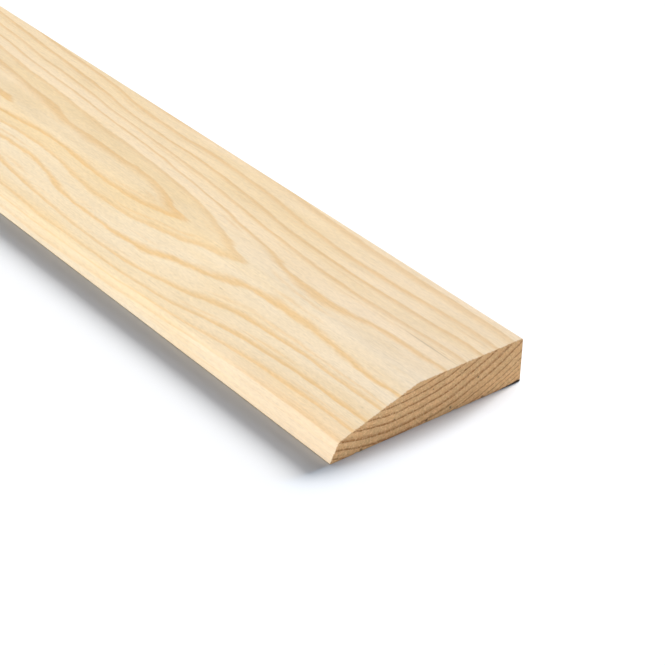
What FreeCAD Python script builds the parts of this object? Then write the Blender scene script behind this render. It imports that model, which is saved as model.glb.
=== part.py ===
"""One length of chamfered softwood skirting board, lying on its back with its face up.

Millimetres. X runs along the length, Y across the board from the thin edge to the thick edge,
and Z up through the thickness. The origin is the middle of the back face.

The board is a single planed piece, so its section is drawn once and carried along the length.
The flat part of the face meets a long chamfer at a lightly eased arris. The chamfer ends in a
blunt nose, which leans outwards down to the back. The back is flat.
"""

import math
import os

import FreeCAD
import Part

# Overall sizes of the planed board, made from 25 by 100 mm sawn stock
BOARD_LENGTH = 2400.0
BOARD_WIDTH = 95.0
BOARD_THICKNESS = 20.0

# The moulded face: the width left flat, and the blunt nose below the chamfer
FLAT_FACE_WIDTH = 53.3
NOSE_HEIGHT = 8.4
NOSE_LEAN = 4.5

# Roundings of the long edges
ARRIS_RADIUS = 4.0
NOSE_RADIUS = 1.6
THIN_EDGE_RADIUS = 0.6
THICK_EDGE_RADIUS = 0.8
BACK_EDGE_RADIUS = 0.4


def thin_corner_overhang():
    """How far the thin edge's sharp corner would stand beyond the width over its rounding."""
    corner_angle = math.pi / 2 - math.atan(NOSE_LEAN / NOSE_HEIGHT)
    return THIN_EDGE_RADIUS * (1 / math.tan(corner_angle / 2) - 1)


def section_corners():
    """Each corner of the section as (y, z, radius), from the thin edge's back round by the nose."""
    thin_corner = -BOARD_WIDTH / 2 - thin_corner_overhang()
    thick_side = BOARD_WIDTH / 2
    chamfer_top = thick_side - FLAT_FACE_WIDTH
    return [
        (thin_corner, 0.0, THIN_EDGE_RADIUS),
        (thin_corner + NOSE_LEAN, NOSE_HEIGHT, NOSE_RADIUS),
        (chamfer_top, BOARD_THICKNESS, ARRIS_RADIUS),
        (thick_side, BOARD_THICKNESS, THICK_EDGE_RADIUS),
        (thick_side, 0.0, BACK_EDGE_RADIUS),
    ]


def section_point(y, z):
    """A point of the section, which is drawn on the sawn end at -X."""
    return FreeCAD.Vector(-BOARD_LENGTH / 2, y, z)


def rounded_corner(before, corner, after):
    """The start, middle and end of the arc that rounds one corner of the section."""
    apex = section_point(corner[0], corner[1])
    radius = corner[2]
    backward = (section_point(before[0], before[1]) - apex).normalize()
    forward = (section_point(after[0], after[1]) - apex).normalize()
    half_angle = backward.getAngle(forward) / 2
    setback = radius / math.tan(half_angle)
    inward = (backward + forward).normalize()
    centre = apex + inward * (radius / math.sin(half_angle))
    return apex + backward * setback, centre - inward * radius, apex + forward * setback


def section_wire():
    """The closed section: straight planed faces, joined by arcs at the rounded corners."""
    corners = section_corners()
    edges = []
    ends = []
    for index, corner in enumerate(corners):
        following = corners[(index + 1) % len(corners)]
        start, middle, end = rounded_corner(corners[index - 1], corner, following)
        edges.append(Part.Arc(start, middle, end).toShape())
        ends.append((start, end))
    for index, (_, end) in enumerate(ends):
        next_start, _ = ends[(index + 1) % len(ends)]
        edges.append(Part.LineSegment(end, next_start).toShape())
    return Part.Wire(Part.__sortEdges__(edges))


def skirting_board():
    """The whole board, sawn square at both ends."""
    section = Part.Face(section_wire())
    return section.extrude(FreeCAD.Vector(BOARD_LENGTH, 0, 0))


def main():
    os.makedirs("parts", exist_ok=True)
    board = skirting_board()
    board.exportStep("parts/skirting_board.step")
    box = board.BoundBox
    print("skirting_board", board.ShapeType, "valid", board.isValid(), "volume", round(board.Volume))
    print("size", round(box.XLength, 3), round(box.YLength, 3), round(box.ZLength, 3))


main()
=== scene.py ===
import math

import bpy
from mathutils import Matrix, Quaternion, Vector


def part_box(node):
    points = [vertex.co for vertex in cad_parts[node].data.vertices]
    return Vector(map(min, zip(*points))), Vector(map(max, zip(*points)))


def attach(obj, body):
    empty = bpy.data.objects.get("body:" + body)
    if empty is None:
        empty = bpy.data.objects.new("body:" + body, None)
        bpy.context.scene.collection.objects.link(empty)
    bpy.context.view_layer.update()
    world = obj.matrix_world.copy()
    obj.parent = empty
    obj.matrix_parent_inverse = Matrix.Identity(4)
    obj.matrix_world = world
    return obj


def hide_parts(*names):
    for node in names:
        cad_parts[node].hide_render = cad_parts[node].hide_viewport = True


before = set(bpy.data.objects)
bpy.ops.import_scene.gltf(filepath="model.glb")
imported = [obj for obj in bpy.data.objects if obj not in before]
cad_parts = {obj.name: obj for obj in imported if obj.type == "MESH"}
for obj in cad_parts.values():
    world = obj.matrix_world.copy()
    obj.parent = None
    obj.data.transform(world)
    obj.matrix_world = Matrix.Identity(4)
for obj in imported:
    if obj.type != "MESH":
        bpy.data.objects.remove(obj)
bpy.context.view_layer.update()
boardLow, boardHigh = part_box("skirting_board")
mm = 0.001
white = (1, 1, 1, 1)
print("frame loaded, board", [round(side, 4) for side in boardHigh - boardLow])


def linearColour(hexCode):
    # sRGB hex to the linear values that Blender's colour sockets hold
    channels = [int(hexCode[i:i + 2], 16) / 255 for i in (1, 3, 5)]
    return [c / 12.92 if c <= 0.04045 else ((c + 0.055) / 1.055) ** 2.4 for c in channels] + [1]


def addNode(tree, kind, inputs=None, **settings):
    # inputs are keyed by socket name or number, and take a value, a socket or another node
    node = tree.nodes.new("ShaderNode" + kind)
    for name, value in settings.items():
        setattr(node, name, value)
    for name, value in (inputs or {}).items():
        if isinstance(value, bpy.types.Node):
            value = value.outputs[0]
        if isinstance(value, bpy.types.NodeSocket):
            tree.links.new(value, node.inputs[name])
        else:
            node.inputs[name].default_value = value
    return node


def emptyMaterial(name):
    material = bpy.data.materials.new(name)
    material.use_nodes = True
    material.node_tree.nodes.clear()
    return material


# Camera, at the angle and distance that the board's own edges give

shot = {
    "azimuth": 51.05,           # degrees round from looking along +Y
    "elevation": 32.06,         # degrees that it looks down
    "roll": 1.5,                # degrees
    "distance": 0.8252,         # metres from the target
    "target": (1.1529, -0.0099, 0.0200),
    "lens": 114.9,              # mm
    "nearest": 0.05,            # metres; nothing closer or farther is drawn
    "farthest": 50,
}


def setCamera():
    azimuth, elevation = math.radians(shot["azimuth"]), math.radians(shot["elevation"])
    back = Vector((
        math.sin(azimuth) * math.cos(elevation),
        -math.cos(azimuth) * math.cos(elevation),
        math.sin(elevation),
    ))
    camera = bpy.data.objects.new("studioCamera", bpy.data.cameras.new("studioCamera"))
    bpy.context.scene.collection.objects.link(camera)
    camera.data.lens = shot["lens"]
    camera.data.clip_start, camera.data.clip_end = shot["nearest"], shot["farthest"]
    camera.location = Vector(shot["target"]) + back * shot["distance"]
    level = (-back).to_track_quat("-Z", "Y")
    camera.rotation_euler = (level @ Quaternion((0, 0, 1), math.radians(shot["roll"]))).to_euler()
    bpy.context.scene.camera = camera


setCamera()
print("camera set")


# Studio: a white floor and soft lamps. The board has a key from behind the thick edge, a low fill from
# the nose's side and a fill for the sawn end. The floor has lamps of its own, as the shadow in a
# catalogue picture is set apart from the board's light.

studio = {
    "floorSize": 60.0,          # metres
    "floorColour": "#f2f2f2",
    # name, direction, level, degrees across as seen from the board, and colour;
    # level 1 lights a facing white card to white
    "floorLamps": [
        # the three softboxes come from a fit to the board's shadow in the photo
        ("shadowSoftbox", (-0.27, 2.325, 1.0), 1.832, 18, "#ffffff"),
        ("cornerSoftbox", (-0.748, 1.663, 1.0), 0.45, 28, "#f6f9ff"),
        ("endSoftbox", (-0.416, 0.274, 1.0), 0.159, 21, "#f6f9ff"),
        # evens out the sawn end's warm glow on the floor in front of it
        ("coolCard", (0.3, 4.5, 1.0), 0.42, 10, "#7cc4ff"),
    ],
    "boardLamps": [
        ("softKey", (-0.30, 0.83, 0.95), 0.69, 50, "#ffffff"),
        ("lowFill", (-0.45, -1.0, 0.4), 0.925, 30, "#f8fbff"),
        ("endFill", (1.0, -0.25, 0.25), 0.32, 60, "#ffffff"),
    ],
    "lampDistance": 3,          # where their marks stand; a sun lamp lights the same from anywhere
    "skyLevel": 0.10,
    "skyColour": "#f4f8ff",
}


def setLamps(lamps, lit):
    for name, direction, level, spread, colour in lamps:
        lamp = bpy.data.lights.new(name, "SUN")
        lamp.color = linearColour(colour)[:3]
        lamp.energy = math.pi * level
        lamp.angle = math.radians(spread)
        holder = bpy.data.objects.new(name, lamp)
        bpy.context.scene.collection.objects.link(holder)
        holder.rotation_euler = Vector(direction).to_track_quat("Z", "Y").to_euler()
        holder.location = Vector(direction) * studio["lampDistance"]
        holder.light_linking.receiver_collection = lit


def setSky():
    # faint on the board and the floor, and plain white where the camera or a reflection sees it
    world = bpy.data.worlds.new("studioWorld")
    world.use_nodes = True
    world.node_tree.nodes.clear()
    bpy.context.scene.world = world
    tree = world.node_tree
    path = addNode(tree, "LightPath")
    seen = addNode(tree, "Math", {0: path.outputs["Is Camera Ray"], 1: path.outputs["Is Glossy Ray"]},
                   operation="MAXIMUM")
    seen = addNode(tree, "Math", {0: seen, 1: path.outputs["Is Transmission Ray"]}, operation="MAXIMUM")
    level = addNode(tree, "MapRange", {"Value": seen, "To Min": studio["skyLevel"], "To Max": 1.0})
    tint = addNode(tree, "Mix", {0: seen, 6: linearColour(studio["skyColour"]), 7: white},
                   data_type="RGBA")
    sky = addNode(tree, "Background", {"Color": tint.outputs[2], "Strength": level})
    addNode(tree, "OutputWorld", {"Surface": sky})


def setFloor():
    bpy.ops.object.select_all(action="DESELECT")
    bpy.ops.mesh.primitive_plane_add(size=studio["floorSize"], location=(0, 0, boardLow.z))
    floor = bpy.context.object
    floor.name = "studioFloor"
    bpy.ops.object.transform_apply(location=True, rotation=True, scale=True)
    matt = emptyMaterial("whiteStudioFloor")    # matt paper roll: no gloss, only the board's soft shadow
    paper = addNode(matt.node_tree, "BsdfDiffuse", {"Color": linearColour(studio["floorColour"])})
    addNode(matt.node_tree, "OutputMaterial", {"Surface": paper})
    floor.data.materials.append(matt)
    return floor


setSky()
floorLit = bpy.data.collections.new("floorLit")
floorLit.objects.link(setFloor())
boardLit = bpy.data.collections.new("boardLit")
setLamps(studio["floorLamps"], floorLit)
setLamps(studio["boardLamps"], boardLit)
bpy.context.scene.view_settings.view_transform = "Standard"
print("studio set")


# How the tree grew round the board, all in mm. The rings run through the sawn ends and every planed
# face. Places are measured back from the +X end, across from the thin edge and up from the back.
# A grain is noise: its length, width and depth, and its detail. A pattern is a grain too, with the
# values found in it and what these become.
# Over the first 300 mm the pith, the flattening, the first five swellings and the growth of the tenth to
# the sixteenth year started from a fit to the ring lines in the photo. They were rounded and in part
# changed, and the rest is chosen.

growth = {
    "pithAcross": [(0, 36), (70, 37.4), (125, 37.5), (150, 36.8), (170, 35.6), (190, 34), (210, 32.3),
                   (230, 31.2), (250, 31.6), (280, 34.8), (330, 37), (430, 38), (700, 33),
                   (1050, 40), (1400, 34), (1800, 41), (2100, 36), (2400, 38)],
    "pithHeight": [(0, 95), (100, 94.7), (155, 93), (190, 91.2), (230, 90), (300, 90), (450, 87),
                   (700, 90.5), (1000, 84), (1300, 86), (1600, 79), (1900, 82), (2400, 74)],
    "flattening": (0.88, 0.94),     # of the rings, towards the thin and the thick edge
    "flatteningReach": 15,          # each side of the pith, over which the one turns into the other
    # from, across, half length, half width and push of each broad swelling in the stem
    "swellings": [(243, 68, 39, 8, -1.2), (75, 46, 45, 16.5, 1.8), (98, 75, 100, 14, 2.4),
                  (143, 10, 60, 16, -4.8), (254, 29, 48, 15, 2.6), (125, 42, 45, 4.5, -0.12),
                  (40, 20, 85, 16, -1.0), (220, 95, 80, 9, -1.3)],
    "swellingFall": 0.3679,         # what is left of a push at its half length or half width
    "swellingDepth": 10000,         # so deep that a push is the same all through the thickness
    # length and width of each finer wander of the rings, and how far it shifts them
    "wanders": [((90, 14, 14), 0.4), ((26, 5, 5), 0.28), ((9, 2.5, 2.5), 0.12), ((4, 0.8, 0.8), 0.09)],
    "innerRadius": 45.4,            # where the first of the years starts
    # each year's growth, how dark its summer wood is and the share of the year it takes, going outwards
    "years": [(3.4, 1.0, 0.3), (2.9, 0.8, 0.25), (3.3, 1.1, 0.35), (3.0, 0.9, 0.3), (3.5, 1.0, 0.3),
              (3.1, 0.8, 0.25), (2.7, 1.1, 0.3), (3.2, 0.9, 0.35), (2.5, 1.0, 0.3), (2.2, 0.9, 0.35),
              (2.3, 0.6, 0.3), (3.0, 0.85, 0.2), (3.2, 0.8, 0.3), (3.3, 0.9, 0.3), (3.9, 0.9, 0.3),
              (3.3, 0.75, 0.5), (3.5, 0.22, 0.3), (2.8, 0.2, 0.2), (2.1, 0.3, 0.2), (1.9, 0.4, 0.25),
              (1.8, 0.25, 0.2), (1.7, 0.3, 0.2), (1.9, 0.3, 0.2), (1.8, 0.3, 0.2), (2.0, 0.3, 0.2)],
    # how warm the spring wood is, by ring; the year inside the pointed tongue is the warmest
    "warmth": [(0, 0.45), (9.8, 0.45), (9.9, 0.95), (10.8, 0.9), (11.0, 0.1), (12.4, 0.15), (13.4, 0.5),
               (15.6, 0.45), (16.4, 0.0), (25, 0.0)],
    "summerCentre": 0.86,           # where in a year's growth its dark line is centred
    "dryCentre": 0.5,               # and the fainter line of a dry spell
    "dryShare": 0.13,
    "dryPatches": ((48, 6, 6), 1, (0.48, 0.66), (0, 0.45)),
}


def addCurve(tree, value, points, straight=False):
    # a curve drawn in real units, fitted into the node's own 1 by 1 square
    low, high = min(y for x, y in points), max(y for x, y in points)
    first, last = points[0][0], points[-1][0]
    value = addNode(tree, "MapRange", {"Value": value, "From Min": first, "From Max": last})
    node = addNode(tree, "FloatCurve", {"Value": value})
    curve = node.mapping.curves[0]
    drawn = [((x - first) / (last - first), (y - low) / (high - low)) for x, y in points]
    curve.points[0].location, curve.points[-1].location = drawn[0], drawn[-1]
    for x, y in drawn[1:-1]:
        curve.points.new(x, y)
    for point in curve.points:
        point.handle_type = "VECTOR" if straight else "AUTO"
    node.mapping.update()
    return addNode(tree, "MapRange", {"Value": node, "To Min": low, "To Max": high}, clamp=False)


def addGrain(tree, point, reach, detail):
    # noise as long, wide and deep as reach, in mm
    local = addNode(tree, "VectorMath", {0: point, 1: reach}, operation="DIVIDE")
    return addNode(tree, "TexNoise", {"Vector": local, "Scale": 1, "Detail": detail})


def addPattern(tree, point, reach, detail, found, given):
    # grain in which the values found become the values given
    grain = addGrain(tree, point, reach, detail)
    return addNode(tree, "MapRange", {"Value": grain, "From Min": found[0], "From Max": found[1],
                                      "To Min": given[0], "To Max": given[1]})


def addGrowth(tree):
    # gives the point in mm, and the year's ring that it lies in, counted outwards
    place = addNode(tree, "TexCoord").outputs["Object"]
    start = (boardHigh.x / mm, -boardLow.y / mm, -boardLow.z / mm)
    point = addNode(tree, "VectorMath", {0: place, 1: (-1 / mm, 1 / mm, 1 / mm), 2: start},
                    operation="MULTIPLY_ADD")
    along, across, height = addNode(tree, "SeparateXYZ", {0: point}).outputs
    pithAcross = addCurve(tree, along, growth["pithAcross"])
    pithHeight = addCurve(tree, along, growth["pithHeight"])

    # distance from the pith, in rings that lie a little flat
    side = addNode(tree, "Math", {0: across, 1: pithAcross}, operation="SUBTRACT")
    thinSide, thickSide = growth["flattening"]
    flattening = addNode(tree, "MapRange", {
        "Value": side, "From Min": -growth["flatteningReach"], "From Max": growth["flatteningReach"],
        "To Min": thinSide, "To Max": thickSide}, interpolation_type="SMOOTHSTEP")
    side = addNode(tree, "Math", {0: side, 1: flattening}, operation="MULTIPLY")
    rise = addNode(tree, "Math", {0: pithHeight, 1: height}, operation="SUBTRACT")
    spoke = addNode(tree, "CombineXYZ", {"X": side, "Y": rise})
    radius = addNode(tree, "VectorMath", {0: spoke}, operation="LENGTH").outputs["Value"]

    for begin, centre, halfLength, halfWidth, push in growth["swellings"]:
        size = (halfLength, halfWidth, growth["swellingDepth"])
        local = addNode(tree, "Mapping", {"Vector": point, "Location": (begin, centre, 0), "Scale": size},
                        vector_type="TEXTURE")
        away = addNode(tree, "VectorMath", {0: local, 1: local}, operation="DOT_PRODUCT").outputs["Value"]
        swell = addNode(tree, "Math", {0: growth["swellingFall"], 1: away}, operation="POWER")
        radius = addNode(tree, "Math", {0: swell, 1: push, 2: radius}, operation="MULTIPLY_ADD")
    for reach, amount in growth["wanders"]:
        wander = addPattern(tree, point, reach, 0, (0, 1), (-amount, amount))
        radius = addNode(tree, "Math", {0: radius, 1: wander}, operation="ADD")

    reached, rings = growth["innerRadius"], []
    for count, (width, _, _) in enumerate(growth["years"]):
        rings.append((reached, count + growth["summerCentre"]))
        reached += width
    return point, addCurve(tree, radius, rings, straight=True)


def addSummerWood(tree, point, ring, spread, stop, least):
    # dark line of each year: it builds up slowly from the inside and stops sharply on the outside
    part = addNode(tree, "Math", {0: ring}, operation="FRACT")
    centre = growth["summerCentre"]
    centres = [count + centre for count in range(len(growth["years"]))]
    _, darkness, shares = zip(*growth["years"])
    strength = addCurve(tree, ring, list(zip(centres, darkness)), straight=True)
    share = addCurve(tree, ring, list(zip(centres, shares)), straight=True)
    start = addNode(tree, "Math", {0: share, 1: -spread, 2: centre}, operation="MULTIPLY_ADD")
    built = addNode(tree, "MapRange", {"Value": part, "From Min": start, "From Max": centre},
                    interpolation_type="SMOOTHSTEP")
    left = addNode(tree, "MapRange", {"Value": part, "From Min": stop, "From Max": 1,
                                      "To Min": 1, "To Max": 0}, interpolation_type="SMOOTHSTEP")
    summer = addNode(tree, "Math", {0: built, 1: left}, operation="MULTIPLY")
    strength = addNode(tree, "Math", {0: strength, 1: least}, operation="MAXIMUM")
    summer = addNode(tree, "Math", {0: summer, 1: strength}, operation="MULTIPLY")

    # here and there a dry spell left a fainter line in the middle of the year
    aside = addNode(tree, "Math", {0: part, 1: growth["dryCentre"]}, operation="SUBTRACT")
    aside = addNode(tree, "Math", {0: aside}, operation="ABSOLUTE")
    dry = addNode(tree, "MapRange", {"Value": aside, "From Max": growth["dryShare"] * spread,
                                     "To Min": 1, "To Max": 0}, interpolation_type="SMOOTHSTEP")
    patches = addPattern(tree, point, *growth["dryPatches"])
    dry = addNode(tree, "Math", {0: dry, 1: patches}, operation="MULTIPLY")
    return addNode(tree, "Math", {0: summer, 1: dry}, operation="MAXIMUM")


def addTone(tree, colour, value, tone):
    # darkens or lightens the colour as the value goes from 0 to 1
    level = addNode(tree, "MapRange", {"Value": value, "To Min": tone[0], "To Max": tone[1]})
    return addNode(tree, "VectorMath", {0: colour, 3: level}, operation="SCALE")


def addStain(tree, wood, stain, cover):
    # lays a stain over the wood where cover is 1; each colour is hex, linear or a socket
    wood, stain = [linearColour(c) if isinstance(c, str) else c for c in (wood, stain)]
    return addNode(tree, "Mix", {0: cover, 6: wood, 7: stain}, data_type="RGBA").outputs[2]


# Dark ragged strip along the lower back corner of the thick edge, near the +X end, in mm

darkCorner = {
    "width": 14.0,
    "height": 1.5,
    "length": 160.0,
    "ragged": ((4, 1.2, 0.8), 2, (0.3, 0.7), (0.75, 1.15)),
    "edge": 0.25,                   # over which the wood turns into the dark strip
    "colour": "#3b3126",
    "roughness": 0.95,
}


def addDarkCorner(tree, point, colour, roughness):
    # a dark strip on the lower back corner of the thick edge; it thins out along the length
    along, across, height = addNode(tree, "SeparateXYZ", {0: point}).outputs
    width = (boardHigh.y - boardLow.y) / mm
    reach = addNode(tree, "MapRange", {"Value": across, "From Min": width - darkCorner["width"],
                                       "From Max": width, "To Min": 0, "To Max": darkCorner["height"]})
    left = addNode(tree, "MapRange", {"Value": along, "From Max": darkCorner["length"], "To Min": 1, "To Max": 0})
    ragged = addPattern(tree, point, *darkCorner["ragged"])
    reach = addNode(tree, "Math", {0: reach, 1: left}, operation="MULTIPLY")
    reach = addNode(tree, "Math", {0: reach, 1: ragged}, operation="MULTIPLY")
    depth = addNode(tree, "Math", {0: reach, 1: height}, operation="SUBTRACT")
    cover = addNode(tree, "MapRange", {"Value": depth, "From Max": darkCorner["edge"]})
    rough = addNode(tree, "MapRange", {"Value": cover, "To Min": roughness, "To Max": darkCorner["roughness"]})
    return addStain(tree, colour, darkCorner["colour"], cover), rough


# The two sawn ends, in mm

sawn = {
    "springColour": "#d8ac7b",
    "dryColour": "#d4ad7d",         # drier patches
    "dryPatches": ((5, 5, 3), 2, (0.4, 0.6), (0, 1)),
    "summerColour": "#9b663a",
    "lines": (0.85, 0.95, 0.85),    # how wide the dark lines spread, where they stop, how dark at least
    "lineBreaks": ((1.2, 1.2, 1.2), 1, (0.3, 0.7), (0.7, 1.1)),
    "sawMark": ((0.5, 0.9, 5), 3),
    "sawSlant": 25,                 # degrees that the saw's marks lean
    "sawTone": (0.88, 1.12),
    "pores": ((0.7, 0.7, 0.7), 3),
    "poreTone": (0.8, 1.2),
    "fleck": 0.62,                  # width of the torn bundles of fibres
    "fleckTone": (0.92, 1.08),
    "paleColour": "#e0c195",        # frayed fibres that catch the light
    "frayedFrom": 0.55,             # flecks run from 0 to 1, and those above this are frayed
    "frayedCover": 0.4,
    "thinSidePaintedLight": 1.1,            # painted light: the end is painted lighter towards the thin edge, where the floor in shadow sends up less light
    "thinSide": (5, 65),            # from the thin edge, over which that fades
    "cloud": ((6, 8, 8), 2),        # broad paler and darker parts
    "cloudTone": (0.9, 1.1),
    # dark specks: across, up and radius. The four on the lower edge are painted shade at its splinters, the
    # others pitch and dirt
    "specksAndSplinterShade": [(14.7, 0.6, 1.0), (46.7, 1.0, 0.9), (58.6, 2.2, 0.8), (72.3, 10.8, 0.7), (49.3, 14.2, 0.5),
               (75.0, 0.4, 1.1), (65.5, 16.8, 0.5), (30.5, 8.0, 0.5)],
    "speckCore": 0.2,               # share of a speck's radius that is darkest
    "speckTone": 0.3,
    "relief": 0.08,
    "roughness": (0.75, 0.95),
    "specular": 0.25,
    "ior": 1.45,
}


def sawnEndPine():
    # sawn end grain: open and matt, tan with thin brown rings, and scored by the saw's teeth
    material = emptyMaterial("sawnEndPine")
    tree = material.node_tree
    point, ring = addGrowth(tree)
    summer = addSummerWood(tree, point, ring, *sawn["lines"])
    breaks = addPattern(tree, point, *sawn["lineBreaks"])
    summer = addNode(tree, "Math", {0: summer, 1: breaks}, operation="MULTIPLY", use_clamp=True)
    dry = addPattern(tree, point, *sawn["dryPatches"])
    colour = addStain(tree, sawn["springColour"], sawn["dryColour"], dry)
    colour = addStain(tree, colour, sawn["summerColour"], summer)

    # what the saw left: slanted scores, open pores and frayed bundles of fibres
    slanted = addNode(tree, "VectorRotate", {"Vector": point, "Angle": math.radians(sawn["sawSlant"])},
                      rotation_type="X_AXIS")
    saw = addGrain(tree, slanted, *sawn["sawMark"])
    pores = addGrain(tree, point, *sawn["pores"])
    colour = addTone(tree, colour, saw, sawn["sawTone"])
    colour = addTone(tree, colour, pores, sawn["poreTone"])
    flecks = addNode(tree, "TexVoronoi", {"Vector": point, "Scale": 1 / sawn["fleck"]})
    flecks = addNode(tree, "SeparateColor", {0: flecks.outputs["Color"]})
    frayed = addNode(tree, "MapRange", {"Value": flecks, "From Min": sawn["frayedFrom"],
                                        "To Max": sawn["frayedCover"]})
    colour = addStain(tree, colour, sawn["paleColour"], frayed)
    colour = addTone(tree, colour, flecks, sawn["fleckTone"])

    # painted light towards the thin edge, then paler and darker parts, and dark specks
    across = addNode(tree, "SeparateXYZ", {0: point}).outputs["Y"]
    pastPaintedLight = addNode(tree, "MapRange", {"Value": across, "From Min": sawn["thinSide"][0],
                                          "From Max": sawn["thinSide"][1]})
    colour = addTone(tree, colour, pastPaintedLight, (sawn["thinSidePaintedLight"], 1))
    colour = addTone(tree, colour, addGrain(tree, point, *sawn["cloud"]), sawn["cloudTone"])
    flat = addNode(tree, "VectorMath", {0: point, 1: (0, 1, 1)}, operation="MULTIPLY")
    # the specks on the lower edge are painted shade at its splinters
    for aside, up, radius in sawn["specksAndSplinterShade"]:
        away = addNode(tree, "VectorMath", {0: (0, aside, up), 1: flat}, operation="DISTANCE")
        clear = addNode(tree, "MapRange", {"Value": away.outputs["Value"], "From Max": radius,
                                           "From Min": sawn["speckCore"] * radius})
        colour = addTone(tree, colour, clear, (sawn["speckTone"], 1))

    relief = addNode(tree, "Math", {0: saw, 1: pores}, operation="ADD")
    relief = addNode(tree, "Math", {0: relief, 1: sawn["relief"]}, operation="MULTIPLY")
    bump = addNode(tree, "Bump", {"Height": relief, "Distance": mm, "Strength": 1.0})
    smooth, rough = sawn["roughness"]
    roughness = addNode(tree, "MapRange", {"Value": pores, "To Min": smooth, "To Max": rough})
    colour, roughness = addDarkCorner(tree, point, colour, roughness)
    wood = addNode(tree, "BsdfPrincipled", {
        "Base Color": colour, "Roughness": roughness, "Normal": bump,
        "Specular IOR Level": sawn["specular"], "IOR": sawn["ior"]})
    addNode(tree, "OutputMaterial", {"Surface": wood})
    return material


# The planed faces, in mm

planed = {
    "springColour": "#efdab8",
    "thickSpringColour": "#f4dcb8",     # rosier spring wood towards the thick edge
    "warmColour": "#edd2a5",            # more honeyed spring wood
    "warmPatches": ((60, 8, 8), 2, (0.3, 0.7), (-0.35, 0.35)),
    "summerColour": "#e8c187",
    "thickSummerColour": "#e3be88",     # greyer lines towards the thick edge
    "thickSide": (44, 58),              # from the thin edge
    "lines": (1.1, 0.88, 0),            # as for the sawn ends
    "lineStrength": ((45, 7, 7), 2, (0, 1), (0.6, 1.4)),
    "nose": (5, 15),                    # from the thin edge
    "noseLines": 0.62,                  # how dark the lines still are on the nose
    "bandsInYear": 3.2,                 # faint lines within a year's growth
    "bandLength": 160,
    "bandDetail": 1,
    "bandTone": (0.95, 1.05),
    "fibre": ((22, 0.5, 0.5), 3),       # long streaks of fibre
    "fibreTone": (0.92, 1.08),
    "nap": ((2.5, 0.6, 0.6), 1),        # short broken fibres between them
    "napTone": (0.88, 1.12),
    "mottle": ((40, 7, 7), 2),
    "mottleTone": (0.94, 1.06),
    "canals": ((7, 0.45, 0.45), 0, (0.7, 0.8), (0, 1)),     # resin canals: short, thin and a little darker
    "canalTone": 0.92,
    "dulledColour": "#f7f8fe",          # what the handled end's greying lets through
    "dulledNoseColour": "#fcf5f0",
    "dulledLength": 130,
    # thin grey-brown resin streaks: along, across, half length and half width
    "streaks": [(18, 61.5, 22, 0.45), (7, 20.5, 1.2, 0.5), (57, 21, 1.6, 0.45),
                (106, 26.5, 2.0, 0.4)],
    "streakDepth": 10,
    "streakCore": 0.2,                  # share of a streak's half size that is darkest
    "streakCover": 0.6,
    "streakColour": "#a8916f",
    "tornRim": ((3, 0.9, 0.9), 1, (0.4, 0.75), (0, 0.7)),   # how far the saw tore the faces, along the ends
    "tornEdge": 0.2,
    "tornCover": 0.9,
    "summerRelief": 0.03,               # how far summer wood stands proud of the planed face
    "fibreRelief": 0.03,
    "cutterPitch": 1.9,                 # between the planer's cuts
    "cutterRelief": 0.003,
    "roughness": (0.62, 0.52),          # spring wood, then the denser summer wood
    "specular": 0.5,
    "ior": 1.45,
}


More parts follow.
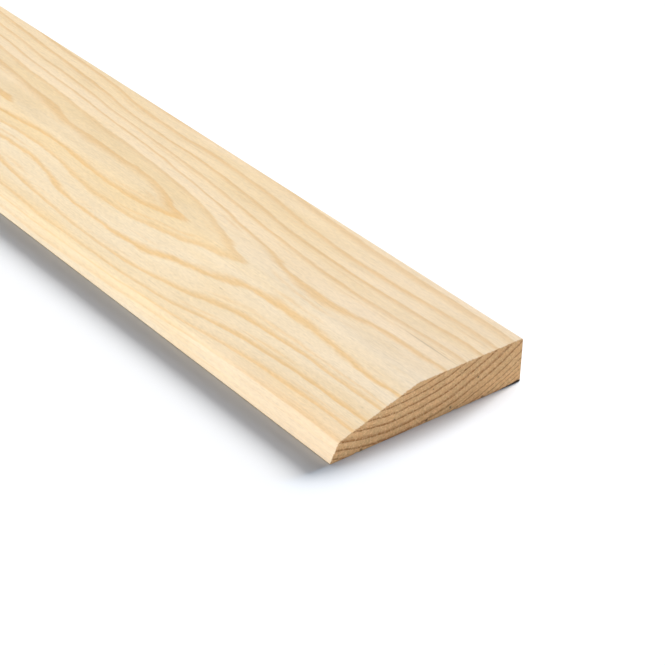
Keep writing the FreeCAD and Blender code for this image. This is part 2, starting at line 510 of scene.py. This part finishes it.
def planedPine():
    # bare planed pine: pale straw wood with honey lines, a soft dry sheen and silky lengthwise fibres
    material = emptyMaterial("planedPine")
    tree = material.node_tree
    point, ring = addGrowth(tree)
    along, across, _ = addNode(tree, "SeparateXYZ", {0: point}).outputs

    # the dark lines, stronger and weaker along the length, and faint on the nose
    summer = addSummerWood(tree, point, ring, *planed["lines"])
    strength = addPattern(tree, point, *planed["lineStrength"])
    summer = addNode(tree, "Math", {0: summer, 1: strength}, operation="MULTIPLY", use_clamp=True)
    pastNose = addNode(tree, "MapRange", {"Value": across, "From Min": planed["nose"][0],
                                          "From Max": planed["nose"][1]})
    faint = addNode(tree, "MapRange", {"Value": pastNose, "To Min": planed["noseLines"], "To Max": 1})
    summer = addNode(tree, "Math", {0: summer, 1: faint}, operation="MULTIPLY")

    # the spring wood between them, warmer in some years and in patches
    warm = addPattern(tree, point, *planed["warmPatches"])
    warm = addNode(tree, "Math", {0: warm, 1: addCurve(tree, ring, growth["warmth"], straight=True)},
                   operation="ADD", use_clamp=True)
    thick = addNode(tree, "MapRange", {"Value": across, "From Min": planed["thickSide"][0],
                                       "From Max": planed["thickSide"][1]})
    spring = addStain(tree, planed["springColour"], planed["thickSpringColour"], thick)
    spring = addStain(tree, spring, planed["warmColour"], warm)
    dark = addStain(tree, planed["summerColour"], planed["thickSummerColour"], thick)
    colour = addStain(tree, spring, dark, summer)

    # faint lines within the year follow the ring; fibres and mottling follow the length
    inYear = addNode(tree, "Math", {0: ring, 1: planed["bandsInYear"]}, operation="MULTIPLY")
    inLength = addNode(tree, "Math", {0: along, 1: 1 / planed["bandLength"]}, operation="MULTIPLY")
    bandPlace = addNode(tree, "CombineXYZ", {"X": inYear, "Y": inLength})
    bands = addNode(tree, "TexNoise", {"Vector": bandPlace, "Scale": 1, "Detail": planed["bandDetail"]})
    fibres = addGrain(tree, point, *planed["fibre"])
    colour = addTone(tree, colour, bands, planed["bandTone"])
    colour = addTone(tree, colour, fibres, planed["fibreTone"])
    colour = addTone(tree, colour, addGrain(tree, point, *planed["nap"]), planed["napTone"])
    colour = addTone(tree, colour, addGrain(tree, point, *planed["mottle"]), planed["mottleTone"])
    canals = addPattern(tree, point, *planed["canals"])
    colour = addTone(tree, colour, canals, (1, planed["canalTone"]))

    # greyed by handling towards the +X end
    handled = addNode(tree, "MapRange", {"Value": along, "From Max": planed["dulledLength"],
                                         "To Min": 1, "To Max": 0})
    greying = addStain(tree, planed["dulledNoseColour"], planed["dulledColour"], pastNose)
    dulled = addStain(tree, white, greying, handled)
    colour = addNode(tree, "VectorMath", {0: colour, 1: dulled}, operation="MULTIPLY")

    for begin, aside, halfLength, halfWidth in planed["streaks"]:
        streak = addNode(tree, "Mapping", {
            "Vector": point, "Location": (begin, aside, boardHigh.z / mm),
            "Scale": (halfLength, halfWidth, planed["streakDepth"])}, vector_type="TEXTURE")
        streak = addNode(tree, "VectorMath", {0: streak}, operation="LENGTH").outputs["Value"]
        streak = addNode(tree, "MapRange", {"Value": streak, "From Min": planed["streakCore"], "From Max": 1,
                                            "To Min": planed["streakCover"], "To Max": 0})
        colour = addStain(tree, colour, planed["streakColour"], streak)

    # the saw tore the rim of both ends
    beyond = addNode(tree, "Math", {0: (boardHigh.x - boardLow.x) / mm, 1: along}, operation="SUBTRACT")
    fromEnd = addNode(tree, "Math", {0: along, 1: beyond}, operation="MINIMUM")
    rim = addPattern(tree, point, *planed["tornRim"])
    rim = addNode(tree, "Math", {0: rim, 1: fromEnd}, operation="SUBTRACT")
    torn = addNode(tree, "MapRange", {"Value": rim, "From Max": planed["tornEdge"],
                                      "To Max": planed["tornCover"]})
    colour = addStain(tree, colour, sawn["springColour"], torn)

    springRoughness, summerRoughness = planed["roughness"]
    roughness = addNode(tree, "MapRange", {"Value": summer, "To Min": springRoughness,
                                           "To Max": summerRoughness})
    colour, roughness = addDarkCorner(tree, point, colour, roughness)
    cutter = addNode(tree, "Math", {0: along, 1: 2 * math.pi / planed["cutterPitch"]}, operation="MULTIPLY")
    cutter = addNode(tree, "Math", {0: cutter}, operation="SINE")
    relief = addNode(tree, "Math", {0: summer, 1: planed["summerRelief"]}, operation="MULTIPLY")
    relief = addNode(tree, "Math", {0: fibres, 1: planed["fibreRelief"], 2: relief},
                     operation="MULTIPLY_ADD")
    relief = addNode(tree, "Math", {0: cutter, 1: planed["cutterRelief"], 2: relief},
                     operation="MULTIPLY_ADD")
    bump = addNode(tree, "Bump", {"Height": relief, "Distance": mm, "Strength": 1.0})
    wood = addNode(tree, "BsdfPrincipled", {
        "Base Color": colour, "Roughness": roughness, "Normal": bump,
        "Specular IOR Level": planed["specular"], "IOR": planed["ior"]})
    addNode(tree, "OutputMaterial", {"Surface": wood})
    return material


# The board, cut from a planed blank as the moulder cuts it

board = {
    "flatFace": 53.3 * mm,      # width of the face that stays flat
    "noseHeight": 8.4 * mm,
    "noseLean": 4.5 * mm,
    "arrisRadius": 4.0 * mm,    # eased corner between flat face and chamfer
    "noseRadius": 1.6 * mm,
    "thinEdgeRadius": 0.6 * mm,
    "thickEdgeRadius": 0.8 * mm,
    "backEdgeRadius": 0.4 * mm,
    "roundingStep": 5,          # degrees turned by each strip of a rounding
    "fewestStrips": 3,
    "crossCuts": 99,            # loops of vertices along the length
    "endRub": 0.15 * mm,        # soft edge round the sawn ends
    "endGrid": 1.0 * mm,
    # splinters lost from the lower edge of the sawn ends: place across, half width and height, mm
    "chips": [(12.5, 0.6, 0.2), (47.5, 0.5, 0.2), (60.5, 0.6, 0.2), (72.0, 0.5, 0.15)],
    "chipReach": 0.5 * mm,      # up from the back, in which a splinter takes vertices along
    "chipSlope": 0.5,           # how far a splinter cuts in along the board, for its height
    "smoothBelow": 12,          # degrees between faces that still shade as one
    "sameEdge": 0.01 * mm,      # vertices this close to a corner of the section lie on its edge
}


def boardSection():
    # corners (y, z, rounding) of the section, from the back of the thin edge round by the nose
    lean = math.atan(board["noseLean"] / board["noseHeight"])
    setback = board["thinEdgeRadius"] / math.tan((math.pi / 2 - lean) / 2)
    # the rounded thin edge, and not its sharp corner, reaches the full width
    thin = boardLow.y - setback * (1 + math.sin(lean) - math.hypot(1, math.sin(lean)))
    return [
        (thin, boardLow.z, board["thinEdgeRadius"]),
        (thin + board["noseLean"], boardLow.z + board["noseHeight"], board["noseRadius"]),
        (boardHigh.y - board["flatFace"], boardHigh.z, board["arrisRadius"]),
        (boardHigh.y, boardHigh.z, board["thickEdgeRadius"]),
        (boardHigh.y, boardLow.z, board["backEdgeRadius"]),
    ]


def selectWhere(mesh, kind, test):
    # in edit mode, selects the vertices, edges or faces that pass the test
    bpy.ops.mesh.select_mode(type=kind)
    bpy.ops.mesh.select_all(action="DESELECT")
    bpy.ops.object.mode_set(mode="OBJECT")
    for item in {"VERT": mesh.vertices, "EDGE": mesh.edges, "FACE": mesh.polygons}[kind]:
        item.select = test(item)
    bpy.ops.object.mode_set(mode="EDIT")


def isSawnEnd(face):
    return abs(face.normal.x) > 0.9


def modelBoard():
    corners = boardSection()
    rub = board["endRub"]
    blankLow = Vector((boardLow.x + rub, corners[0][0], boardLow.z))
    blankHigh = Vector((boardHigh.x - rub, boardHigh.y, boardHigh.z))
    bpy.ops.object.select_all(action="DESELECT")
    bpy.ops.mesh.primitive_cube_add(size=1, location=(blankLow + blankHigh) / 2, scale=blankHigh - blankLow)
    piece = bpy.context.object
    mesh = piece.data
    piece.name = mesh.name = "planedBoard"
    bpy.ops.object.transform_apply(location=True, rotation=True, scale=True)

    # plane away the nose and the chamfer
    bpy.ops.object.mode_set(mode="EDIT")
    for (y, z, _), (nextY, nextZ, _) in (corners[0:2], corners[1:3]):
        bpy.ops.mesh.select_all(action="SELECT")
        outward = Vector((0, z - nextZ, nextY - y)).normalized()
        bpy.ops.mesh.bisect(plane_co=(0, y, z), plane_no=outward, use_fill=True, clear_outer=True)

    # round the long edges
    for index, (y, z, radius) in enumerate(corners):
        before, after = corners[index - 1], corners[(index + 1) % len(corners)]
        turn = math.pi - Vector((before[0] - y, before[1] - z)).angle(Vector((after[0] - y, after[1] - z)))
        selectWhere(mesh, "EDGE", lambda edge: all(
            math.hypot(mesh.vertices[v].co.y - y, mesh.vertices[v].co.z - z) < board["sameEdge"]
            for v in edge.vertices))
        strips = max(board["fewestStrips"], round(math.degrees(turn) / board["roundingStep"]))
        bpy.ops.mesh.bevel(offset=radius * math.tan(turn / 2), affect="EDGES", profile=0.5, segments=strips)

    # soften the sawn edges, then cut across the length so that the faces stay short
    selectWhere(mesh, "FACE", isSawnEnd)
    bpy.ops.mesh.inset(thickness=rub, depth=rub)
    halfLength = (boardHigh.x - boardLow.x) / 2
    selectWhere(mesh, "EDGE", lambda edge: abs(
        mesh.vertices[edge.vertices[0]].co.x - mesh.vertices[edge.vertices[1]].co.x) > halfLength)
    bpy.ops.mesh.subdivide(number_cuts=board["crossCuts"])

    # a close grid on the sawn ends, for their splintered lower edge
    steps = round((boardHigh.y - boardLow.y) / board["endGrid"])
    for step in range(1, steps):
        selectWhere(mesh, "FACE", lambda face: abs(face.center.x) > boardHigh.x - 2 * rub)
        bpy.ops.mesh.bisect(plane_co=(0, boardLow.y + step * board["endGrid"], 0), plane_no=(0, 1, 0))
    bpy.ops.object.mode_set(mode="OBJECT")
    return piece


# Where the board's surface lies on its own map, which is 1 by 1

surfaceMap = {
    "nearEnd": 0.01,            # left side of the sawn end at +X
    "farEnd": 0.51,
    "endBottom": 0.01,
    "endWidth": 0.48,
    "faceLeft": 0.005,
    "faceWidth": 0.99,
    "faceBottom": 0.13,
    "faceHeight": 0.86,
    "heart": (0.01, 0.008),     # y and z in metres, about which the section's outline is sorted
    "outlineFrom": 0.5,         # metres each side of the middle in which that outline is read
}


def unwrapBoard(piece):
    # the girth runs up the map and the length runs across it; the two sawn ends share a strip below
    mesh = piece.data
    heartY, heartZ = surfaceMap["heart"]
    outline = sorted({(round(v.co.y, 7), round(v.co.z, 7)) for v in mesh.vertices
                      if abs(v.co.x) < surfaceMap["outlineFrom"]},
                     key=lambda p: -math.atan2(p[1] - heartZ, p[0] - heartY))
    outline.append(outline[0])
    reached = [0.0]
    for (y, z), (nextY, nextZ) in zip(outline, outline[1:]):
        reached.append(reached[-1] + math.hypot(nextY - y, nextZ - z))
    girth = reached[-1]

    def roundSection(y, z):
        # how far round the section the nearest point of its outline lies
        nearest = None
        for index, ((y0, z0), (y1, z1)) in enumerate(zip(outline, outline[1:])):
            side = Vector((y1 - y0, z1 - z0))
            part = max(0, min(1, Vector((y - y0, z - z0)).dot(side) / side.length_squared))
            gap = math.hypot(y0 + part * side.x - y, z0 + part * side.y - z)
            if nearest is None or gap < nearest[0]:
                nearest = gap, reached[index] + part * side.length
        return nearest[1]

    layer = mesh.uv_layers.new(name="OFBake")
    turned = [roundSection(v.co.y, v.co.z) for v in mesh.vertices]
    length, width = boardHigh.x - boardLow.x, boardHigh.y - boardLow.y
    for face in mesh.polygons:
        isEnd = isSawnEnd(face)
        face.material_index = 1 if isEnd else 0
        most = max(turned[v] for v in face.vertices)
        for loop in face.loop_indices:
            index = mesh.loops[loop].vertex_index
            spot = mesh.vertices[index].co
            if isEnd:
                start = surfaceMap["nearEnd"] if spot.x > 0 else surfaceMap["farEnd"]
                scale = surfaceMap["endWidth"] / width
                right = start + scale * (spot.y - boardLow.y)
                up = surfaceMap["endBottom"] + scale * (spot.z - boardLow.z)
            else:
                turn = turned[index] + (girth if most - turned[index] > girth / 2 else 0)
                right = surfaceMap["faceLeft"] + surfaceMap["faceWidth"] * (spot.x - boardLow.x) / length
                up = surfaceMap["faceBottom"] + surfaceMap["faceHeight"] * turn / girth
            layer.data[loop].uv = right, up


def chipEnds(piece):
    bpy.ops.object.mode_set(mode="EDIT")
    for end in (1, -1):
        for across, half, lift in board["chips"]:
            selectWhere(piece.data, "VERT", lambda v: v.co.x * end > boardHigh.x - 2 * board["endRub"]
                        and v.co.z < boardLow.z + board["chipReach"]
                        and abs(v.co.y - boardLow.y - across * mm) < half * mm)
            bpy.ops.transform.translate(value=(-board["chipSlope"] * end * lift * mm, 0, lift * mm))
    bpy.ops.object.mode_set(mode="OBJECT")


planedBoard = modelBoard()
unwrapBoard(planedBoard)
chipEnds(planedBoard)
print("board modelled,", len(planedBoard.data.polygons), "faces")

for material in (planedPine(), sawnEndPine()):
    planedBoard.data.materials.append(material)
bpy.ops.object.shade_smooth_by_angle(angle=math.radians(board["smoothBelow"]))
bpy.ops.object.modifier_add(type="WEIGHTED_NORMAL")
planedBoard.modifiers[0].keep_sharp = True
bpy.ops.object.modifier_apply(modifier=planedBoard.modifiers[0].name)
boardLit.objects.link(planedBoard)
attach(planedBoard, "root")
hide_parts("skirting_board")
print("board finished with", len(planedBoard.data.materials), "materials")
